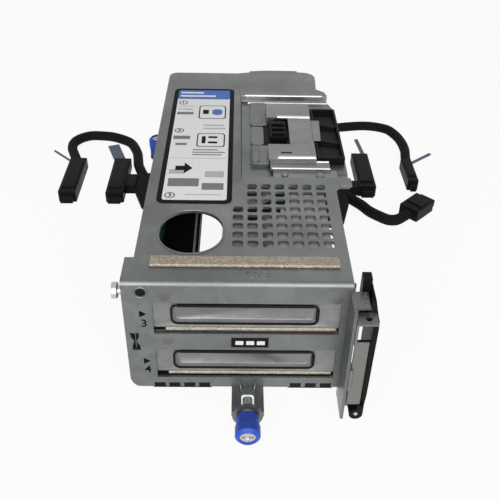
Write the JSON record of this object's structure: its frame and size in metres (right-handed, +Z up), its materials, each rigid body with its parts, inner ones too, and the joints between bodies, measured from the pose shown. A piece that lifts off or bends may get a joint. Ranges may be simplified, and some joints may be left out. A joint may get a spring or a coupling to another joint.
{
  "type": "riser cage bracket",
  "caption": "Sheet-steel riser cage for low-profile expansion cards, with slot covers, latch, card retainer, blue thumbscrews and black cable bundles ending in plugs.",
  "frame": {"origin": "middle of the cage's footprint, cables left out, on the surface it stands on", "axes": "+X to the right seen from the front, +Y from the front plate to the back, +Z up through the top plate"},
  "size_m": [0.2021, 0.227, 0.0554],
  "materials": {
    "galvanised_sheet": "fine-spangled galvanised steel sheet, dull",
    "plated_steel": "zinc-plated steel, satin",
    "bright_steel": "nickel-plated steel, bright",
    "conductive_foam": "metallised fabric over foam, sparkling",
    "label_film": "printed polyester film, satin",
    "black_film": "printed film, matt",
    "blue_plastic": "moulded nylon, semi-gloss",
    "board_laminate": "solder-masked glass laminate",
    "black_plastic": "moulded nylon, matt",
    "black_sleeve": "woven sleeving, matt",
    "tab_film": "polyester film, satin"
  },
  "bodies": {
    "cage": {"cage_shell": "galvanised_sheet", "slot_filler_upper": "plated_steel", "slot_filler_lower": "plated_steel", "slot_gasket_upper": "conductive_foam", "slot_gasket_lower": "conductive_foam", "top_gasket": "conductive_foam", "instruction_label": "label_film", "slot_badge": "black_film", "touch_strip": "blue_plastic", "riser_board": "board_laminate", "vent_shield": "plated_steel", "card_connector_upper": "black_plastic", "card_connector_lower": "black_plastic", "board_standoffs": "plated_steel", "board_screws": "plated_steel", "cable_header": "black_plastic", "front_collar": "plated_steel", "side_collar": "plated_steel", "shoulder_screw": "bright_steel", "latch_pin": "bright_steel", "retainer_frame": "galvanised_sheet", "retainer_rivets": "bright_steel", "retainer_block": "black_plastic", "left_cable_boot": "black_sleeve", "right_cable_boot": "black_sleeve", "left_cable": "black_sleeve", "rear_cable": "black_sleeve", "right_cable": "black_sleeve", "left_far_plug": "black_plastic", "left_near_plug": "black_plastic", "right_far_plug": "black_plastic", "right_near_plug": "black_plastic", "right_low_plug": "black_plastic", "left_far_tab": "tab_film", "left_near_tab": "tab_film", "right_far_tab": "tab_film", "right_near_tab": "tab_film"},
    "front_thumbscrew": {"front_screw": "bright_steel", "front_knob": "blue_plastic"},
    "side_thumbscrew": {"side_screw": "bright_steel", "side_knob": "blue_plastic"},
    "slot_latch": {"latch_lever": "black_plastic", "latch_strip": "plated_steel"},
    "retainer_slider": {"retainer_slider": "black_plastic"}
  },
  "joints": [
    {"name": "front_thumbscrew_turn", "type": "hinge", "parent": "cage", "child": "front_thumbscrew", "pos_m": [0.0039, -0.08115, 0.0052], "axis": [0, 1, 0], "continuous": true},
    {"name": "side_thumbscrew_turn", "type": "hinge", "parent": "cage", "child": "side_thumbscrew", "pos_m": [-0.0383, 0.06425, 0.0217], "axis": [0, 0, 1], "continuous": true},
    {"name": "slot_latch_swing", "type": "hinge", "parent": "cage", "child": "slot_latch", "pos_m": [0.0402, -0.07015, 0.0055], "axis": [0, 1, 0], "range_deg": [0, 90]},
    {"name": "retainer_slide", "type": "slide", "parent": "cage", "child": "retainer_slider", "axis": [0, -1, 0], "range_m": [0, 0.005]}
  ]
}
